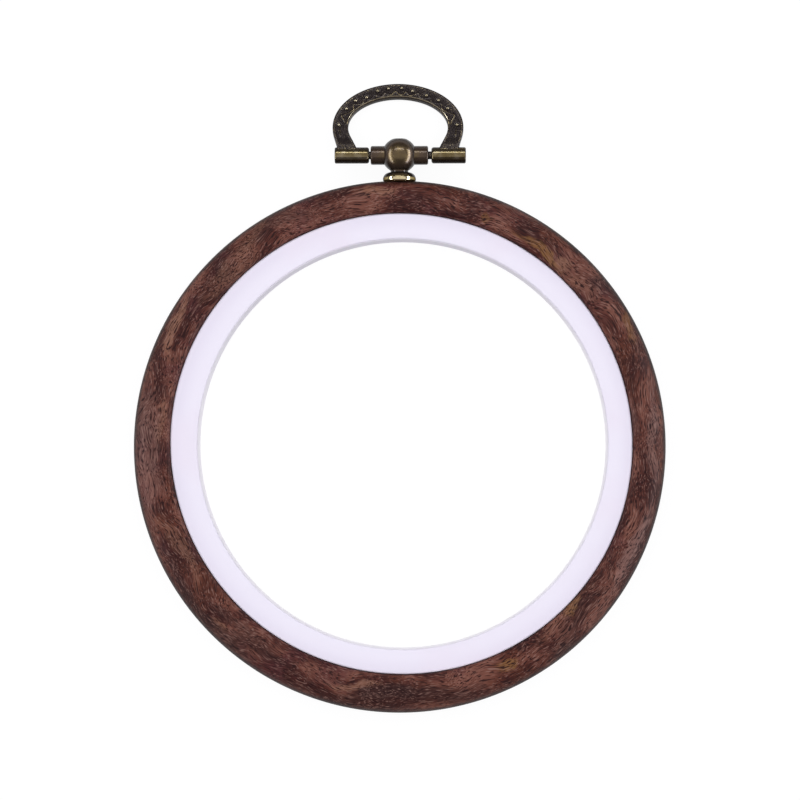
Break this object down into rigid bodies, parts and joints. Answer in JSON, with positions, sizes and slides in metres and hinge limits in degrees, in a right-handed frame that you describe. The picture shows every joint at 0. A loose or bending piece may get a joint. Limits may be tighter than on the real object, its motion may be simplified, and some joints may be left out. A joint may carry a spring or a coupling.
{
  "type": "embroidery hoop",
  "caption": "Small round embroidery hoop: a soft wood-look ring stretched over a rigid white ring, with a swinging D-shaped hanging bail on a ball and collar.",
  "frame": {"origin": "centre of the sewing window on the plane of the inner hoop's back, which is the table", "axes": "+Z along the hoop's axis towards its front, +Y from the window's centre to the hanger, +X to the right seen from the front"},
  "size_m": [0.0927, 0.1103, 0.0086],
  "materials": {
    "white_plastic": "satin moulded white plastic",
    "wood_look_vinyl": "satin soft vinyl with a dark burl wood look",
    "antique_brass": "darkened antique brass, worn bright on its edges",
    "bright_brass": "brighter worn brass"
  },
  "bodies": {
    "inner_ring": {"inner_hoop": "white_plastic"},
    "outer_ring": {"outer_hoop": "wood_look_vinyl", "hanger_screw": "bright_brass", "hanger_collar": "bright_brass", "hanger_boss": "antique_brass"},
    "bail": {"hanger_bail": "antique_brass", "hinge_pin": "antique_brass"}
  },
  "joints": [
    {"name": "hoop_release", "type": "slide", "parent": "inner_ring", "child": "outer_ring", "axis": [0, 0, 1], "range_m": [0, 0.015]},
    {"name": "bail_swing", "type": "hinge", "parent": "outer_ring", "child": "bail", "pos_m": [-0.00054, 0.05055, 0.00435], "axis": [1, 0, 0], "range_deg": [-125, 155]}
  ]
}
